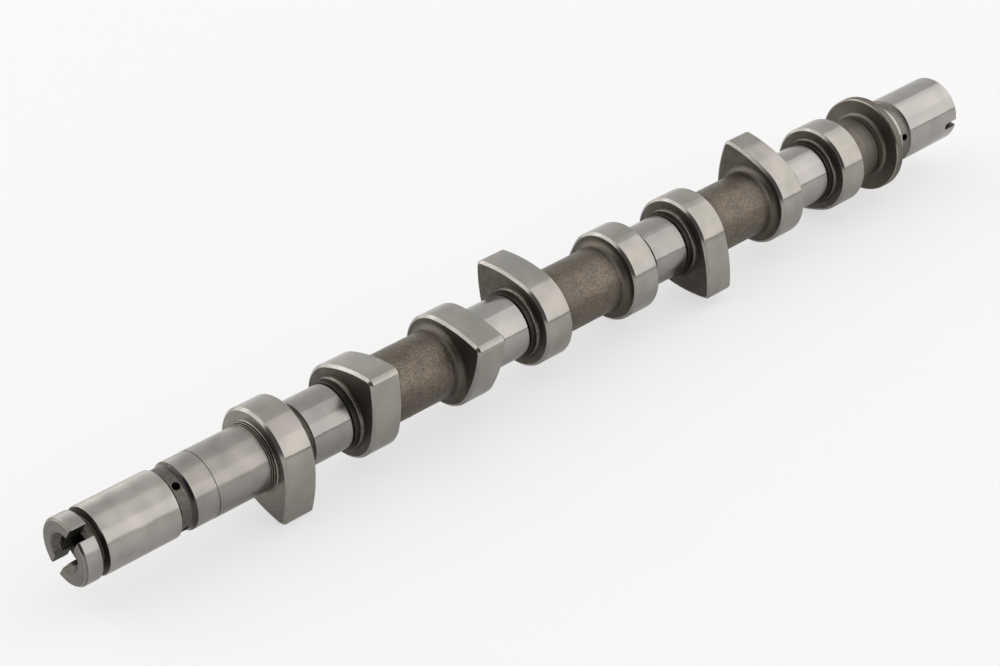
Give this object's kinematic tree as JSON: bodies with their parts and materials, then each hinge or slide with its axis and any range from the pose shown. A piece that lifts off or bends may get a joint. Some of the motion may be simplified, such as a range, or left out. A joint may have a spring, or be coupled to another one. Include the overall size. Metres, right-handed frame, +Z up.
{
  "type": "camshaft",
  "caption": "Overhead camshaft, cast and ground in one piece, with paired cams, plain bearing journals, a thrust collar and a slotted drive head.",
  "frame": {"origin": "on the shaft's axis, in the middle of the front journal", "axes": "+X along the shaft from the slotted drive end to the sprocket end, +Z up with the shaft lying as it rests, +Y away from the viewer of the picture"},
  "size_m": [0.451, 0.0456, 0.0456],
  "materials": {
    "ground_iron": "journals and cams ground bright, cam sides dark, shaft rough as cast between the cylinders"
  },
  "bodies": {
    "root": {"camshaft": "ground_iron"}
  },
  "joints": []
}
